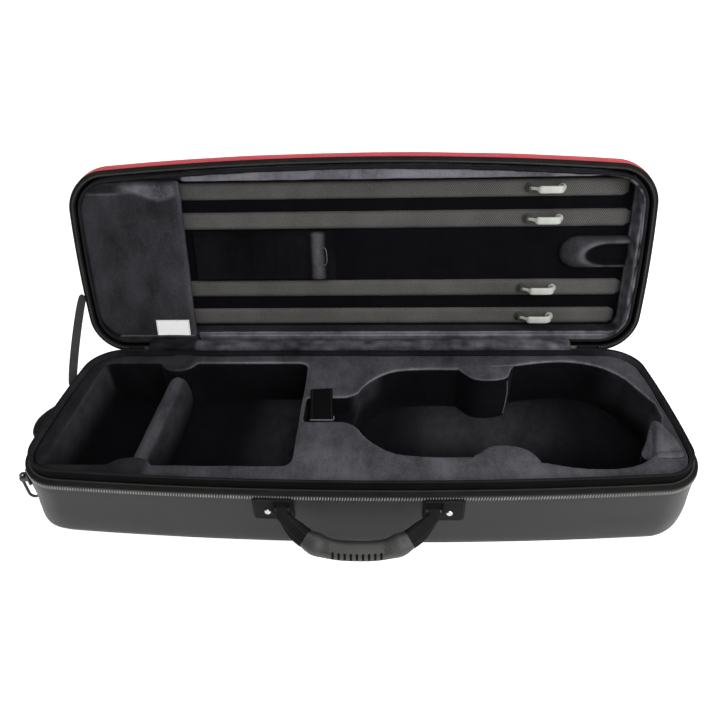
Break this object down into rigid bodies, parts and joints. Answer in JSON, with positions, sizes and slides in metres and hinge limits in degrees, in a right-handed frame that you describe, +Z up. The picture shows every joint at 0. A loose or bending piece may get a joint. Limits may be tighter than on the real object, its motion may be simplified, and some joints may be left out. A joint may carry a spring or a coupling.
{
  "type": "violin case",
  "caption": "Oblong violin case with a hinged lid leaning back, padded wells in the base, bow beds in the lid and a carry handle.",
  "frame": {"origin": "on the underside of the bottom panel, midway along the case and midway between the straight back wall and the front wall's ends", "axes": "+X along the case towards the wide end of the violin well, +Y towards the hinge, +Z up"},
  "size_m": [0.83, 0.4318, 0.3512],
  "materials": {
    "leatherette": "black grained leatherette, semi-matt",
    "black_fabric": "black cloth and stitched leathercloth",
    "zip_tape": "woven black zip tape with a coil",
    "velvet": "charcoal blue velvet over foam",
    "bed_cloth": "grey ribbed cloth",
    "red_fabric": "red woven cover cloth",
    "webbing": "black woven webbing",
    "ribbon": "satin ribbon",
    "label": "plain white woven label with no lettering",
    "clip_plastic": "light grey moulded plastic",
    "dark_plastic": "black moulded plastic",
    "rubber": "dark grey moulded rubber",
    "nickel": "satin nickel plate",
    "steel": "polished steel",
    "dark_steel": "gunmetal wire"
  },
  "bodies": {
    "base": {"base_shell": "leatherette", "bottom_panel": "leatherette", "base_collar": "black_fabric", "hinge_gusset": "black_fabric", "handle_tab_left": "black_fabric", "handle_tab_right": "black_fabric", "zip_tape_base": "zip_tape", "foam_tray": "velvet", "compartment_divider": "velvet", "waist_block_back": "velvet", "waist_block_front": "velvet", "left_floor_pad": "velvet", "right_floor_pad": "velvet", "violin_floor_pad": "velvet", "stay_strap": "webbing", "side_handle": "webbing", "hinge_leaf_base": "nickel", "hinge_pin": "nickel", "zip_slider_left": "nickel", "zip_slider_right": "nickel", "handle_rivet_left": "steel", "handle_rivet_right": "steel", "ring_bracket_left": "steel", "ring_bracket_right": "steel"},
    "lid": {"lid_shell": "red_fabric", "zip_tape_lid": "zip_tape", "lid_lining": "velvet", "bow_tip_cover": "velvet", "blank_label": "label", "neck_pad": "velvet", "tail_pad": "velvet", "pull_tab": "ribbon", "hinge_leaf_lid": "nickel", "bow_bed_1": "bed_cloth", "bow_bed_2": "bed_cloth", "bow_bed_3": "bed_cloth", "bow_bed_4": "bed_cloth", "bow_clip_post_1": "dark_plastic", "bow_clip_post_2": "dark_plastic", "bow_clip_post_3": "dark_plastic", "bow_clip_post_4": "dark_plastic"},
    "handle": {"handle_grip": "rubber", "handle_sleeve_left": "black_fabric", "handle_sleeve_right": "black_fabric"},
    "neck_strap": {"neck_strap": "black_fabric"},
    "ring_left": {"carry_ring_left": "dark_steel"},
    "ring_right": {"carry_ring_right": "dark_steel"},
    "zip_pull_left": {"zip_pull_left": "nickel"},
    "zip_pull_right": {"zip_pull_right": "nickel"},
    "bow_clip_1": {"bow_clip_arm_1": "clip_plastic"},
    "bow_clip_2": {"bow_clip_arm_2": "clip_plastic"},
    "bow_clip_3": {"bow_clip_arm_3": "clip_plastic"},
    "bow_clip_4": {"bow_clip_arm_4": "clip_plastic"}
  },
  "joints": [
    {"name": "lid_hinge", "type": "hinge", "parent": "base", "child": "lid", "pos_m": [0, 0.1265, 0.0927], "axis": [1, 0, 0], "range_deg": [0, 104.5], "deforming": ["stay_strap", "hinge_gusset"]},
    {"name": "bow_clip_1_swivel", "type": "hinge", "parent": "lid", "child": "bow_clip_1", "pos_m": [0.2315, 0.19833, 0.30653], "axis": [0, 0.9681, -0.2504], "range_deg": [0, 33]},
    {"name": "bow_clip_2_swivel", "type": "hinge", "parent": "lid", "child": "bow_clip_2", "pos_m": [0.2315, 0.18819, 0.26732], "axis": [0, 0.9681, -0.2504], "range_deg": [0, 60]},
    {"name": "bow_clip_3_swivel", "type": "hinge", "parent": "lid", "child": "bow_clip_3", "pos_m": [0.2315, 0.16377, 0.17292], "axis": [0, -0.9681, 0.2504], "range_deg": [0, 60]},
    {"name": "bow_clip_4_swivel", "type": "hinge", "parent": "lid", "child": "bow_clip_4", "pos_m": [0.2315, 0.15326, 0.13226], "axis": [0, -0.9681, 0.2504], "range_deg": [0, 33]},
    {"name": "handle_swing", "type": "hinge", "parent": "base", "child": "handle", "pos_m": [0.0065, -0.15023, 0.0755], "axis": [1, 0, 0], "range_deg": [-125, 35]},
    {"name": "neck_strap_fold", "type": "hinge", "parent": "base", "child": "neck_strap", "pos_m": [-0.0475, 0.033, 0.0978], "axis": [-1, 0, 0], "range_deg": [0, 175]},
    {"name": "ring_left_swing", "type": "hinge", "parent": "base", "child": "ring_left", "pos_m": [-0.40362, -0.088, 0.06], "axis": [0, 1, 0], "range_deg": [0, 80]},
    {"name": "ring_right_swing", "type": "hinge", "parent": "base", "child": "ring_right", "pos_m": [0.40495, 0.06, 0.052], "axis": [0, -1, 0], "range_deg": [0, 80]},
    {"name": "zip_pull_left_swing", "type": "hinge", "parent": "base", "child": "zip_pull_left", "pos_m": [-0.328, 0.1269, 0.0923], "axis": [1, 0, 0], "range_deg": [0, 50]},
    {"name": "zip_pull_right_swing", "type": "hinge", "parent": "base", "child": "zip_pull_right", "pos_m": [0.324, 0.1269, 0.0923], "axis": [1, 0, 0], "range_deg": [0, 50]}
  ]
}
